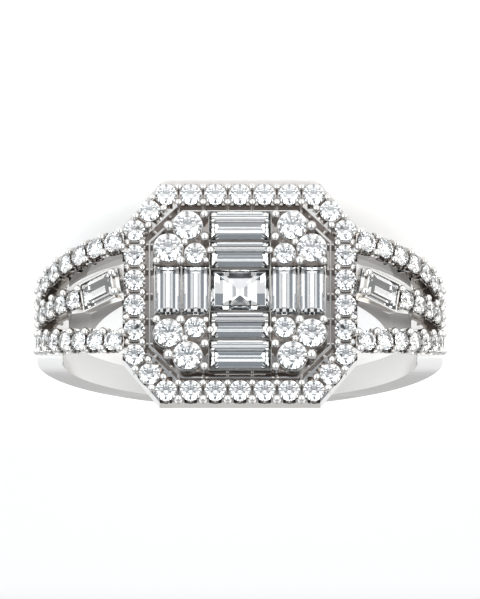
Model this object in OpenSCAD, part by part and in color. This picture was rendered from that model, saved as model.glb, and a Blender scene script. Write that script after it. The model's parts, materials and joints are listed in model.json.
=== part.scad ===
// Cluster ring with a halo and a three-row split shank, lying on its side.
// It is drawn upright first: X across the head, Y along the finger hole's axis and Z out through
// the head, with Z = 0 at the finger hole's centre. The whole ring is then tipped over to rest
// on the halo's lower edge and the back of the shank.
// All sizes are in millimetres.

/* [Finger hole and shank] */
// Radius of the finger hole
bore_r = 8.65; // [8.6:0.05:8.7]
// Radius of the plain shank's outer face
shank_r = 9.88; // [9.8:0.02:9.9]
// Half of the shank's width at the back of the finger
back_half_w = 0.60; // [0.55:0.05:0.7]
// Half of the shank's width beside the finger
side_half_w = 0.87; // [0.8:0.01:0.95]

/* [Shoulders] */
// Distance of a shoulder's arc centre from the middle of the ring
arc_x = 2.25; // [2.2:0.05:2.3]
// Height of a shoulder's arc centre above the finger hole's centre
arc_z = 4.47; // [4.4:0.01:4.5]
// Radius of the shoulder's outer metal face
arc_outer_r = 7.42; // [7.4:0.01:7.45]
// Radius of the shoulder's inner metal face
arc_inner_r = 6.38; // [6.3:0.01:6.4]
// Diameter of the small round stones in the rows
row_d = 0.98; // [0.94:0.01:1.0]
// Angle on the arc of the row stone nearest the head
row_start = 58.8; // [58.6:0.1:59]
// Angle between neighbouring stones of a row
row_step = 8.35; // [8.3:0.01:8.4]
// Number of stones in each outer row
outer_count = 8; // [7:1:8]
// Number of round stones in the middle row
middle_count = 5; // [4:1:5]
// Distance of an outer row from the middle plane at the head
row_spread = 2.45; // [2.4:0.01:2.5]

/* [Shoulder baguette] */
// Length of the shoulder baguette
side_bag_l = 1.90; // [1.8:0.05:1.9]
// Width of the shoulder baguette
side_bag_w = 1.26; // [1.2:0.01:1.3]
// Angle on the arc of the shoulder baguette's middle
side_bag_angle = 52.1; // [52:0.1:52.3]
// Turn of the baguette on its seat
side_bag_turn = 11; // [9:1:12]

/* [Halo] */
// Half of the halo's width across the head
halo_half_x = 5.67; // [5.65:0.01:5.7]
// Half of the halo's height along the finger
halo_half_y = 5.45; // [5.42:0.01:5.48]
// Diameter of a halo stone
halo_d = 1.02; // [0.98:0.01:1.03]
// Height of the halo stones' girdles
halo_z = 10.64; // [10.6:0.01:10.7]
// Depth of the halo's metal below its top face
halo_t = 1.15; // [1.1:0.01:1.2]

/* [Cluster] */
// Half of the cluster's width across the head
cluster_half_x = 4.15; // [4.13:0.01:4.17]
// Half of the cluster's height along the finger
cluster_half_y = 3.96; // [3.94:0.01:3.98]
// Height of the cluster stones' girdles
cluster_z = 11.08; // [11.05:0.01:11.1]
// Width of the centre stone across the head
centre_w = 2.82; // [2.7:0.02:2.84]
// Height of the centre stone along the finger
centre_h = 2.00; // [1.9:0.02:2.04]

/* [Hidden] */

metal_colour = [0.80, 0.80, 0.79];
stone_colour = [0.90, 0.94, 0.98];
stone_gap = 0.05;          // air left between a stone and the metal
big = 30;                  // longer than any cut needs

// Where the head's metal lies, from the girdle heights.
halo_top = halo_z - 0.10;
halo_bottom = halo_top - halo_t;
cluster_top = cluster_z - 0.16;
cluster_bottom = cluster_top - 0.85;
gallery_wall = 0.55;
gallery_half_x = 3.75;
gallery_half_y = 3.55;
bridge_half_y = 0.75;
bridge_t = 0.70;

// Corners of the head's outlines in the first quadrant, at the top edge and at the side edge.
halo_corner = [[3.88, halo_half_y], [halo_half_x, 3.27]];
halo_inner_corner = [[2.95, 4.36], [4.58, 2.80]];
cluster_corner = [[2.88, cluster_half_y], [cluster_half_x, 2.54]];
gallery_corner = [[2.55, gallery_half_y], [gallery_half_x, 2.25]];

// Halo stones: seven along the top and bottom, six down each side and one at each cut corner.
halo_row_y = 4.88;
halo_row_half = 3.565;
halo_row_count = 7;
halo_side_x = 5.10;
halo_side_half = 3.09;
halo_side_count = 6;
halo_corner_stone = [4.37, 4.06];

// Step-cut stones of the cluster: width and height.
centre_size = [centre_w, centre_h];
across_inner_size = [1.30, 2.42];
across_outer_size = [1.24, 2.42];
along_inner_size = [2.90, 1.30];
along_outer_size = [2.96, 1.44];
// Distances of their middles from the head's middle.
across_inner_x = 2.14;
across_outer_x = 3.48;
along_inner_y = 1.75;
along_outer_y = 3.20;
// Corner stones: x, y and diameter of the upper, side and small round.
corner_rounds = [[2.53, 3.24, 1.38], [3.46, 2.12, 1.38], [2.16, 1.84, 1.00]];
// Bead prongs of one corner of the cluster: x, y and radius.
corner_beads = [[1.70, 3.80, 0.16], [3.46, 3.22, 0.19], [1.66, 2.62, 0.14], [2.65, 2.36, 0.12],
                [1.565, 2.10, 0.09], [4.00, 1.41, 0.14], [2.82, 1.40, 0.15], [1.62, 1.30, 0.06]];

bead_crown = 0.55;         // radius of a bead's flat crown for each millimetre of its own radius
halo_bead_r = 0.17;        // radius of a bead prong beside the halo stones
row_bead_r = 0.15;         // radius of a bead prong beside the rows' stones
head_end_bead_r = 0.12;    // radius of the beads squeezed between a row and the halo
bead_top = 0.16;           // height of a bead's crown above the girdle plane on the head
row_bead_top = 0.28;       // the same on the shoulders
row_lift = 0.10;           // height of the shoulders' girdles above the metal
prong_r = 0.18;            // the two prongs at the shoulder baguette's end by the head
side_bag_across = -0.14;   // distance of the shoulder baguette's middle from the middle plane
side_bag_lift = 0.14;      // height of its girdle above the metal
side_bag_lean = 6;         // lean of its seat against the arc
row_bead_across = 0.42;    // distance of a row's beads from its middle line
head_end_bead_across = 0.49;
halo_bead_across = 0.40;
halo_seat_r = 0.455;
row_seat_r = 0.435;
round_seat = 0.43;         // radius of a corner round's seat for each millimetre of its diameter
step_ledge = 0.05;         // width of the ledge that carries a step-cut stone

// Middle arm: its sides in plan, at the head and at its widest.
arm_head_y = [-1.05, 0.50];
arm_wide_y = 0.79;
arm_wide_x = 7.35;
arm_tail_x = 8.75;
arm_tail_y = 0.60;
arch_x = -2.63;            // centre and radius of the arch under the middle arm
arch_z = 4.77;
arch_r = 9.78;
window_end_x = 8.28;       // where the gaps beside the middle arm end

// Half width of the shoulder outside its outer row's middle line.
row_wall = row_d / 2 + 0.07;

// Rest: the ring is tipped until the halo's lower edge and the shank's back touch the surface.
rest_tilt = atan((halo_half_y - back_half_w) / (halo_bottom + shank_r));
rest_z = back_half_w * cos(rest_tilt) + shank_r * sin(rest_tilt);
// Its foremost points are the crowns of the cluster's end beads and its rearmost the shank's back.
front_y = -((cluster_z + bead_top) * cos(rest_tilt)
            + (corner_beads[0][1] + bead_crown * corner_beads[0][2]) * sin(rest_tilt));
back_y = shank_r * cos(rest_tilt) + back_half_w * sin(rest_tilt);

// Distance of an outer row from the middle plane, for stone i counted from the head.
function spread(i) = row_spread - 0.155 * i - 0.008 * i * i;
function row_angle(i) = row_start - row_step * i;
// Slant of an outer row against the middle plane, at stone i.
row_pitch = (arc_outer_r + row_lift) * row_step * PI / 180;
function row_slant(i) = atan((spread(i - 0.5) - spread(i + 0.5)) / row_pitch);
function middle_angle(i) = row_start - row_step * (2.4 + i);
function arc_height(i, r) = arc_z + r * sin(row_angle(i));
function arc_across(i, r) = arc_x + r * cos(row_angle(i));

// Moves the upright ring to the way it rests.
module lay_down() {
  translate([0, -(front_y + back_y) / 2, rest_z]) rotate([90 - rest_tilt, 0, 0]) children();
}

// Puts children on a shoulder: side 1 is right and -1 is left, local Z points out of the metal.
module on_shoulder(side, angle, across, r) {
  mirror([side < 0 ? 1 : 0, 0, 0])
    translate([arc_x, across, arc_z]) rotate([0, 90 - angle, 0]) translate([0, 0, r]) children();
}

// Round stone: a table, eight crown facets, a girdle and a pavilion, girdle top at local Z = 0.
module round_stone(d) {
  n = 8;
  crown = 0.15 * d;
  girdle = 0.04 * d;
  pavilion = 0.42 * d;
  ring = function(r, z, turn) [for (i = [0:n - 1]) [r * cos((i + turn) * 360 / n),
                                                   r * sin((i + turn) * 360 / n), z]];
  points = concat([[0, 0, -girdle - pavilion]], ring(d / 2, -girdle, 0), ring(d / 2, 0, 0),
                  ring(d * 0.29, crown, 0.5));
  faces = concat(
    [for (i = [0:n - 1]) [0, 1 + i, 1 + (i + 1) % n]],
    [for (i = [0:n - 1]) [1 + i, 1 + n + i, 1 + n + (i + 1) % n]],
    [for (i = [0:n - 1]) [1 + i, 1 + n + (i + 1) % n, 1 + (i + 1) % n]],
    [for (i = [0:n - 1]) [1 + n + i, 1 + 2 * n + i, 1 + n + (i + 1) % n]],
    [for (i = [0:n - 1]) [1 + n + (i + 1) % n, 1 + 2 * n + i, 1 + 2 * n + (i + 1) % n]],
    [[for (i = [n - 1:-1:0]) 1 + 2 * n + i]]);
  polyhedron(points, faces);
}

// Step-cut stone: a long table, one crown step, a girdle, a pavilion step and a keel.
module step_stone(size, clip = 0.08) {
  hx = size[0] / 2;
  hy = size[1] / 2;
  short = min(hx, hy);
  // Each row: how far the outline is drawn in, and its height.
  steps = [[short * 0.92, -0.66 * short], [short * 0.45, -0.50 * short], [0, -0.06],
           [0, 0], [short * 0.32, 0.19]];
  n = 8;
  outline = function(inset, z) let (a = hx - inset, b = hy - inset, c = min(clip, min(a, b) * 0.6))
    [[a, b - c, z], [a - c, b, z], [c - a, b, z], [-a, b - c, z],
     [-a, c - b, z], [c - a, -b, z], [a - c, -b, z], [a, c - b, z]];
  points = [for (s = steps) each outline(s[0], s[1])];
  last = len(steps) - 1;
  faces = concat(
    [[for (i = [0:n - 1]) i]],
    [for (k = [0:last - 1]) for (i = [0:n - 1])
      [k * n + i, (k + 1) * n + i, (k + 1) * n + (i + 1) % n, k * n + (i + 1) % n]],
    [[for (i = [n - 1:-1:0]) last * n + i]]);
  polyhedron(points, faces);
}

// Octagon with unequal cut corners, from its two corners in the first quadrant.
module head_outline(corner) {
  a = corner[0];
  b = corner[1];
  polygon([a, b, [b[0], -b[1]], [a[0], -a[1]], [-a[0], -a[1]], [-b[0], -b[1]], [-b[0], b[1]],
           [-a[0], a[1]]]);
}

// Bead prong: a post with a chamfered crown, h high over all.
module bead(r, h) {
  rotate_extrude($fn = 24)
    polygon([[0, 0], [r, 0], [r, h - 0.6 * r], [bead_crown * r, h], [0, h]]);
}

// Places of the halo stones.
halo_places = concat(
  [for (s = [-1, 1]) for (i = [0:halo_row_count - 1])
    [-halo_row_half + 2 * halo_row_half * i / (halo_row_count - 1), s * halo_row_y]],
  [for (s = [-1, 1]) for (i = [0:halo_side_count - 1])
    [s * halo_side_x, -halo_side_half + 2 * halo_side_half * i / (halo_side_count - 1)]],
  [for (sx = [-1, 1]) for (sy = [-1, 1]) [sx * halo_corner_stone[0], sy * halo_corner_stone[1]]]);

// The upper right quarter of the halo's middle line, from the top's middle to the side's middle.
halo_quarter = [[0, halo_row_y], [halo_row_half / 3, halo_row_y], [halo_row_half * 2 / 3, halo_row_y],
                [halo_row_half, halo_row_y], halo_corner_stone, [halo_side_x, halo_side_half],
                [halo_side_x, halo_side_half * 3 / 5], [halo_side_x, halo_side_half / 5]];

// Beads between neighbouring halo stones, inside and outside the middle line.
module halo_beads() {
  for (sx = [0, 1]) for (sy = [0, 1]) mirror([sx, 0, 0]) mirror([0, sy, 0]) {
    for (i = [0:len(halo_quarter) - 2]) {
      a = halo_quarter[i];
      b = halo_quarter[i + 1];
      turn = atan2(b[1] - a[1], b[0] - a[0]);
      for (s = [-1, 1])
        translate([(a[0] + b[0]) / 2, (a[1] + b[1]) / 2, 0]) rotate(turn)
          translate([0, s * halo_bead_across, halo_bottom + 0.2])
            bead(halo_bead_r, halo_z + bead_top - halo_bottom - 0.2);
    }
    if (sx == 0)
      for (s = [-1, 1]) translate([halo_side_x + s * halo_bead_across, 0, halo_bottom + 0.2])
        bead(halo_bead_r, halo_z + bead_top - halo_bottom - 0.2);
  }
}

// The halo's band with its outer wall.
module halo_band() {
  translate([0, 0, halo_bottom]) linear_extrude(halo_t)
    difference() {
      head_outline(halo_corner);
      head_outline(halo_inner_corner);
    }
  // A thin floor closes the groove between the halo and the cluster.
  translate([0, 0, halo_bottom]) linear_extrude(0.35)
    difference() {
      head_outline([halo_corner[0] - [0.3, 0.3], halo_corner[1] - [0.3, 0.3]]);
      head_outline([gallery_corner[0] - [0.2, 0.2], gallery_corner[1] - [0.2, 0.2]]);
    }
}

// The cluster's seat plate, standing on the gallery wall that follows the finger.
module cluster_seat() {
  translate([0, 0, cluster_bottom]) linear_extrude(cluster_top - cluster_bottom)
    head_outline(cluster_corner);
  translate([0, 0, 7]) linear_extrude(cluster_bottom - 7 + 0.1)
    difference() {
      head_outline(gallery_corner);
      head_outline([gallery_corner[0] - [0.25, gallery_wall], gallery_corner[1] - [gallery_wall, 0.25]]);
    }
  // The bridge joins the gallery's side walls along the finger.
  intersection() {
    translate([-gallery_half_x, -bridge_half_y, 7])
      cube([2 * gallery_half_x, 2 * bridge_half_y, 3]);
    rotate([90, 0, 0]) cylinder(r = bore_r + bridge_t, h = big, center = true, $fn = 180);
  }
}

// Bead prongs over the cluster's stones.
module cluster_beads() {
  for (sx = [0, 1]) for (sy = [0, 1]) mirror([sx, 0, 0]) mirror([0, sy, 0])
    for (b = corner_beads)
      translate([b[0], b[1], cluster_bottom + 0.2])
        bead(b[2], cluster_z + bead_top - cluster_bottom - 0.2);
}

// Outline of the shank and shoulders seen along the finger, outer face.
module outer_profile() {
  steps = 30;
  arc_steps = 14;
  step_z = 3.3;
  lower = [for (i = [0:steps]) let (a = 180 + 180 * i / steps) shank_r * [cos(a), sin(a)]];
  right = concat([[shank_r, step_z], [arc_x + arc_outer_r, step_z + 0.25]],
                 [for (i = [0:arc_steps]) let (a = 72 * i / arc_steps)
                   [arc_x + arc_outer_r * cos(a), arc_z + arc_outer_r * sin(a)]]);
  left = [for (i = [len(right) - 1:-1:0]) [-right[i][0], right[i][1]]];
  polygon(concat(lower, right, left));
}

// The space inside the shoulders, above the round finger hole.
module inner_profile() {
  arc_steps = 12;
  right = concat([[arc_x + arc_inner_r, 0.5]],
                 [for (i = [0:arc_steps]) let (a = 90 * i / arc_steps)
                   [arc_x + arc_inner_r * cos(a), arc_z + arc_inner_r * sin(a)]]);
  left = [for (i = [len(right) - 1:-1:0]) [-right[i][0], right[i][1]]];
  polygon(concat(right, left));
}

// Half width of the ring seen from the side, from the back of the shank up to the head.
module side_envelope() {
  // Each row: height above the finger hole's centre and half width.
  plain = [[-shank_r - 1, back_half_w], [-6.8, back_half_w], [-4.7, 0.68], [0, side_half_w],
           [2.4, 1.15]];
  rows = [for (i = [outer_count - 0.5:-0.5:-1]) [arc_height(i, arc_outer_r), spread(i) + row_wall]];
  half = concat(plain, rows, [[13, rows[len(rows) - 1][1] + 0.2]]);
  polygon(concat([for (p = half) [p[1], p[0]]],
                 [for (i = [len(half) - 1:-1:0]) [-half[i][1], half[i][0]]]));
}

module along_finger() {
  rotate([90, 0, 0]) linear_extrude(big, center = true) children();
}

module across_ring() {
  rotate([90, 0, 90]) linear_extrude(big, center = true) children();
}

// Plan of the middle arm of the right shoulder.
module middle_arm_plan() {
  polygon([[4, arm_head_y[0]], [halo_half_x, arm_head_y[0]], [arm_wide_x, -arm_wide_y],
           [arm_tail_x, -arm_tail_y], [12, -arm_tail_y], [12, arm_tail_y], [arm_tail_x, arm_tail_y],
           [arm_wide_x, arm_wide_y], [halo_half_x, arm_head_y[1]], [4, arm_head_y[1]]]);
}

// Plan of the two gaps beside the middle arm of the right shoulder.
module window_plan() {
  gap = row_d / 2 + 0.05;
  edge = [for (i = [-1:0.5:3.5]) if (arc_across(i, arc_outer_r) < window_end_x)
           [arc_across(i, arc_outer_r), spread(i) - gap]];
  end_y = edge[len(edge) - 1][1] - 0.05;
  difference() {
    for (s = [-1, 1])
      polygon(concat([[edge[0][0], 0]], [for (p = edge) [p[0], s * p[1]]],
                     [[window_end_x, s * end_y], [window_end_x, 0]]));
    middle_arm_plan();
  }
}

// Plan of the shallow cuts between the rows, past the end of the gaps.
module groove_plan() {
  gap = row_d / 2 + 0.06;
  edge = [for (i = [2.5:0.5:6.5]) [arc_height(i, arc_outer_r), spread(i) - gap]];
  for (s = [-1, 1])
    polygon(concat([for (p = edge) if (p[1] > gap + 0.03) [s * p[1], p[0]]],
                   [for (i = [len(edge) - 1:-1:0]) if (edge[i][1] > gap + 0.03)
                     [s * gap, edge[i][0]]]));
}

// One shoulder's metal: a wall as wide as three rows, opened beside the middle arm.
module shank_wall() {
  difference() {
    intersection() {
      along_finger() difference() {
        outer_profile();
        inner_profile();
      }
      across_ring() side_envelope();
    }
    // The head takes the place of the wall's middle.
    translate([-halo_half_x + 0.06, -big / 2, 3]) cube([2 * halo_half_x - 0.12, big, 12]);
    translate([-halo_half_x - 0.06, -big / 2, halo_top - 0.05]) cube([2 * halo_half_x + 0.12, big, 12]);
    for (s = [0, 1]) mirror([s, 0, 0]) {
      translate([0, 0, 3]) linear_extrude(12) window_plan();
      difference() {
        intersection() {
          across_ring() groove_plan();
          translate([5, -5, 3]) cube([8, 10, 9]);
        }
        translate([arc_x, 0, arc_z]) rotate([90, 0, 0])
          cylinder(r = arc_outer_r - 0.32, h = big, center = true, $fn = 180);
      }
    }
  }
}

// The deep rib under the middle row, from the finger hole's side up to the head.
module middle_arm() {
  difference() {
    intersection() {
      along_finger() outer_profile();
      translate([0, 0, 0.6]) linear_extrude(12) intersection() {
        middle_arm_plan();
        translate([halo_half_x - 0.06, -5]) square([8, 10]);
      }
      across_ring() side_envelope();
    }
    translate([arch_x, 0, arch_z]) rotate([90, 0, 0])
      cylinder(r = arch_r, h = big, center = true, $fn = 180);
    translate([0, -big / 2, halo_top - 0.05]) cube([halo_half_x + 0.06, big, 12]);
  }
}

// Puts children in a shoulder baguette's own frame.
module on_baguette_seat(side) {
  on_shoulder(side, side_bag_angle, side_bag_across, arc_outer_r + side_bag_lift)
    rotate([0, side_bag_lean, side_bag_turn]) children();
}

// Seats of the shoulder's stones, cut out of the metal.
module shoulder_seats(side) {
  for (i = [0:outer_count - 1]) for (s = [-1, 1])
    on_shoulder(side, row_angle(i), s * spread(i), arc_outer_r - 0.55)
      cylinder(r = row_seat_r, h = 1, $fn = 24);
  for (i = [0:middle_count - 1])
    on_shoulder(side, middle_angle(i), 0, arc_outer_r - 0.55)
      cylinder(r = row_seat_r, h = 1, $fn = 24);
  on_baguette_seat(side)
    translate([-side_bag_l / 2 - stone_gap, -side_bag_w / 2 - stone_gap, -0.6])
      cube([side_bag_l + 2 * stone_gap, side_bag_w + 2 * stone_gap, 2]);
}

// The raised rim that frames the shoulder baguette.
module baguette_frame(side) {
  rim = 0.12;
  on_baguette_seat(side) {
    translate([-side_bag_l / 2 - stone_gap - rim, -side_bag_w / 2 - stone_gap - rim, -0.5])
      cube([side_bag_l + 2 * (stone_gap + rim), side_bag_w + 2 * (stone_gap + rim), 0.52]);
  }
}

// Beads beside the shoulder's stones, and the two prongs at the baguette's end by the head.
module shoulder_beads(side) {
  foot = 0.3;
  height = foot + row_lift + row_bead_top;
  head_end_foot = 0.14;
  head_end_height = head_end_foot + row_lift + bead_top;
  for (s = [-1, 1]) for (t = [-1, 1]) {
    for (i = [0.5:1:outer_count - 0.5])
      on_shoulder(side, row_angle(i), s * spread(i), arc_outer_r - foot)
        rotate(-s * row_slant(i)) translate([0, t * row_bead_across, 0]) bead(row_bead_r, height);
    on_shoulder(side, row_angle(-0.38), s * spread(-0.38), arc_outer_r - head_end_foot)
      rotate(-s * row_slant(0)) translate([0, t * head_end_bead_across, 0])
        bead(head_end_bead_r, head_end_height);
  }
  for (i = [-0.5:1:middle_count - 1.5]) for (t = [-1, 1])
    on_shoulder(side, middle_angle(i), t * row_bead_across, arc_outer_r - foot) bead(row_bead_r, height);
  on_shoulder(side, middle_angle(middle_count - 0.3), 0, arc_outer_r - foot) bead(row_bead_r, height);
  for (t = [-1, 1])
    on_baguette_seat(side)
      translate([-side_bag_l / 2 - stone_gap - 0.20, t * (side_bag_w / 2 - 0.14), -0.45])
        bead(prong_r, 0.72);
}

// Seats of the head's stones, open right through the metal.
module head_seats() {
  for (p = halo_places) translate([p[0], p[1], halo_bottom - 0.5])
    cylinder(r = halo_seat_r, h = 3, $fn = 24);
  for (sx = [0, 1]) for (sy = [0, 1]) mirror([sx, 0, 0]) mirror([0, sy, 0])
    for (c = corner_rounds) translate([c[0], c[1], cluster_bottom - 0.1])
      cylinder(r = c[2] * round_seat, h = 3, $fn = 24);
  for (s = concat([[0, 0, centre_size]],
                  [for (k = [-1, 1]) [k * across_inner_x, 0, across_inner_size]],
                  [for (k = [-1, 1]) [k * across_outer_x, 0, across_outer_size]],
                  [for (k = [-1, 1]) [0, k * along_inner_y, along_inner_size]],
                  [for (k = [-1, 1]) [0, k * along_outer_y, along_outer_size]]))
    translate([s[0] - s[2][0] / 2 + step_ledge, s[1] - s[2][1] / 2 + step_ledge, cluster_bottom - 0.1])
      cube([s[2][0] - 2 * step_ledge, s[2][1] - 2 * step_ledge, 3]);
}

// All of the metal, soldered into one piece: shank, shoulders, halo, cluster seat and beads.
module setting() {
  color(metal_colour) lay_down() difference() {
    union() {
      difference() {
        union() {
          shank_wall();
          for (s = [0, 1]) mirror([s, 0, 0]) middle_arm();
          halo_band();
          cluster_seat();
          baguette_frame(-1);
          baguette_frame(1);
        }
        shoulder_seats(-1);
        shoulder_seats(1);
        head_seats();
      }
      halo_beads();
      cluster_beads();
      shoulder_beads(-1);
      shoulder_beads(1);
    }
    rotate([90, 0, 0]) cylinder(r = bore_r, h = big, center = true, $fn = 180);
  }
}

module cluster_step(place, size) {
  color(stone_colour) lay_down() translate([place[0], place[1], cluster_z]) step_stone(size);
}

// A round of a corner: right is 1 and left -1, up is 1 and down -1.
module corner_round(right, up, which) {
  c = corner_rounds[which];
  color(stone_colour) lay_down()
    translate([right * c[0], -up * c[1], cluster_z]) rotate(22.5) round_stone(c[2]);
}

module shoulder_baguette(side) {
  color(stone_colour) lay_down() on_baguette_seat(side) step_stone([side_bag_l, side_bag_w]);
}

module halo_stones() {
  color(stone_colour) lay_down()
    for (p = halo_places) translate([p[0], p[1], halo_z]) rotate(22.5) round_stone(halo_d);
}

// An outer row of stones: up is 1 for the row shown above the middle arm and -1 below it.
module outer_row_stones(side, up) {
  color(stone_colour) lay_down()
    for (i = [0:outer_count - 1])
      on_shoulder(side, row_angle(i), -up * spread(i), arc_outer_r + row_lift)
        rotate(22.5) round_stone(row_d);
}

module middle_row_stones(side) {
  color(stone_colour) lay_down()
    for (i = [0:middle_count - 1])
      on_shoulder(side, middle_angle(i), 0, arc_outer_r + row_lift) rotate(22.5) round_stone(row_d);
}

setting();
cluster_step([0, 0], centre_size);  // centre_stone
cluster_step([-across_outer_x, 0], across_outer_size);  // left_outer_baguette
cluster_step([-across_inner_x, 0], across_inner_size);  // left_inner_baguette
cluster_step([across_inner_x, 0], across_inner_size);  // right_inner_baguette
cluster_step([across_outer_x, 0], across_outer_size);  // right_outer_baguette
cluster_step([0, -along_outer_y], along_outer_size);  // top_outer_baguette
cluster_step([0, -along_inner_y], along_inner_size);  // top_inner_baguette
cluster_step([0, along_inner_y], along_inner_size);  // bottom_inner_baguette
cluster_step([0, along_outer_y], along_outer_size);  // bottom_outer_baguette
corner_round(-1, 1, 0);  // top_left_upper_round
corner_round(-1, 1, 1);  // top_left_side_round
corner_round(-1, 1, 2);  // top_left_small_round
corner_round(1, 1, 0);  // top_right_upper_round
corner_round(1, 1, 1);  // top_right_side_round
corner_round(1, 1, 2);  // top_right_small_round
corner_round(-1, -1, 0);  // bottom_left_lower_round
corner_round(-1, -1, 1);  // bottom_left_side_round
corner_round(-1, -1, 2);  // bottom_left_small_round
corner_round(1, -1, 0);  // bottom_right_lower_round
corner_round(1, -1, 1);  // bottom_right_side_round
corner_round(1, -1, 2);  // bottom_right_small_round
shoulder_baguette(-1);  // left_shoulder_baguette
shoulder_baguette(1);  // right_shoulder_baguette
halo_stones();
outer_row_stones(-1, 1);  // left_top_row_stones
middle_row_stones(-1);  // left_middle_row_stones
outer_row_stones(-1, -1);  // left_bottom_row_stones
outer_row_stones(1, 1);  // right_top_row_stones
middle_row_stones(1);  // right_middle_row_stones
outer_row_stones(1, -1);  // right_bottom_row_stones
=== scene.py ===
import json
import math

import bpy
from mathutils import Matrix, Vector


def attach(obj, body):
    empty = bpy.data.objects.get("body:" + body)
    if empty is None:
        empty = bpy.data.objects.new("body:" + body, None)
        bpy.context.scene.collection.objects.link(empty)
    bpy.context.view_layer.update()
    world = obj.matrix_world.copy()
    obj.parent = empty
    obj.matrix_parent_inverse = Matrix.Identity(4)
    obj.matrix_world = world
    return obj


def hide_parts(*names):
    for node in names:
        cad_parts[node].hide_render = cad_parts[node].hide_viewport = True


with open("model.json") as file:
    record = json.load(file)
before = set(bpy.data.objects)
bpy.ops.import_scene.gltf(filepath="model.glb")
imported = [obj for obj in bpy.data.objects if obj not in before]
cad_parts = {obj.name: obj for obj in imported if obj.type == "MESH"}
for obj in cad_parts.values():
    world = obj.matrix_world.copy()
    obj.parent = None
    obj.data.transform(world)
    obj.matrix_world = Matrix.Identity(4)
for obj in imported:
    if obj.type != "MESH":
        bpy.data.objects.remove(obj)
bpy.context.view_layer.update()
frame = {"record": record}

# Pieces are modelled upright and in millimetres: X across the head, Y along the finger hole's axis
# with the head's upper edge at -Y, Z out through the head, and Z = 0 at the finger hole's centre.
# lay_down() tips each finished piece over, as the ring rests, and brings it to metres.
METRES = 0.001
SIDES = ((-1, "left"), (1, "right"))

# The shank is plain at the back of the finger and widens upwards, evenly at first and fast at last.
BORE_R = 8.65
SHANK_R = 9.88
BACK_HALF_W = 0.60
WIDENING_FROM_Z = -8.0
EVEN_WIDENING = 0.27
WIDENING_POWER = 4
# Where its outer face passes over to a shoulder's: three heights, and how far in it is at the second.
SHOULDER_FOOT_Z = (3.1, 3.3, 3.55)
SHOULDER_FOOT_STEP = 0.04

# A shoulder's side view is an arc; its stones stand on it.
ARC_X = 2.25
ARC_Z = 4.47
ARC_OUTER_R = 7.42
ARC_INNER_R = 6.38
ARC_END = 70

# Rows of small stones, counted from the head: angles on that arc, and an outer row's distance from
# the middle plane, which closes up along the row. Its first stones stand beside an open gap, and
# past the gap's end a shallow groove parts the rows.
ROW_D = 0.98
ROW_START = 58.8
ROW_STEP = 8.35
OUTER_COUNT = 8
OPEN_COUNT = 4
MIDDLE_COUNT = 5
MIDDLE_FIRST = 2.4
SPREAD_START = 2.45
SPREAD_CLOSING = 0.155
SPREAD_CURVING = 0.008
ROW_LIFT = 0.10
ROW_WALL = ROW_D / 2 + 0.13
ROW_PITCH = math.radians(ROW_STEP) * (ARC_OUTER_R + ROW_LIFT)
GROOVE_DEPTH = 0.35
SEAT_R = 0.46
SEAT_DEPTH = 0.5

# The baguette at the head's end of each middle arm: its place on the shoulder, and how it is turned.
SIDE_BAG_SIZE = (1.90, 1.26)
SIDE_BAG_ANGLE = 52.1
SIDE_BAG_TURN = 11
SIDE_BAG_LEAN = 6
SIDE_BAG_ACROSS = -0.14
SIDE_BAG_LIFT = 0.14

# The halo. A pair called a corner holds two corners of an octagon: at +Y's edge and at +X's edge.
HALO_HALF_X = 5.67
HALO_HALF_Y = 5.45
HALO_D = 1.02
HALO_Z = 10.64
HALO_TOP = HALO_Z - 0.10
HALO_BOTTOM = HALO_TOP - 1.15
HALO_CORNER = ((3.88, HALO_HALF_Y), (HALO_HALF_X, 3.27))
HALO_INNER_CORNER = ((2.95, 4.36), (4.58, 2.80))
HALO_ROW_Y = 4.88
HALO_ROW_HALF = 3.565
HALO_ROW_COUNT = 7
HALO_SIDE_X = 5.10
HALO_SIDE_HALF = 3.09
HALO_SIDE_COUNT = 6
HALO_CORNER_STONE = (4.37, 4.06)
GROOVE_FLOOR = HALO_BOTTOM + 0.35

# The cluster inside the halo, its plate, and the gallery under it.
CLUSTER_Z = 11.08
CLUSTER_TOP = CLUSTER_Z - 0.16
CLUSTER_BOTTOM = CLUSTER_TOP - 0.85
CLUSTER_CORNER = ((2.88, 3.96), (4.15, 2.54))
GALLERY_CORNER = ((2.55, 3.55), (3.75, 2.25))
GALLERY_WALL = (0.25, 0.55)
BRIDGE_HALF_Y = 0.75
BRIDGE_T = 0.70

# Step-cut stones of the cluster: node, place and size.
STEP_STONES = (
    ("centre_stone", (0, 0), (2.82, 2.00)),
    ("left_inner_baguette", (-2.14, 0), (1.30, 2.42)),
    ("right_inner_baguette", (2.14, 0), (1.30, 2.42)),
    ("left_outer_baguette", (-3.48, 0), (1.24, 2.42)),
    ("right_outer_baguette", (3.48, 0), (1.24, 2.42)),
    ("top_inner_baguette", (0, -1.75), (2.90, 1.30)),
    ("bottom_inner_baguette", (0, 1.75), (2.90, 1.30)),
    ("top_outer_baguette", (0, -3.20), (2.96, 1.44)),
    ("bottom_outer_baguette", (0, 3.20), (2.96, 1.44)),
)
# Round stones of one corner of the cluster: name, place and diameter.
CORNER_ROUNDS = (("end", (2.53, 3.24), 1.38), ("side", (3.46, 2.12), 1.38), ("small", (2.16, 1.84), 1.00))
# Bead prongs of one corner of the cluster: place and radius.
CORNER_BEADS = (
    ((1.72, 3.78), 0.22), ((3.45, 3.20), 0.26), ((1.70, 2.66), 0.24), ((2.67, 2.40), 0.19),
    ((1.42, 1.99), 0.21), ((4.03, 1.45), 0.22), ((2.88, 1.48), 0.25), ((1.64, 1.48), 0.17),
)
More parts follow.
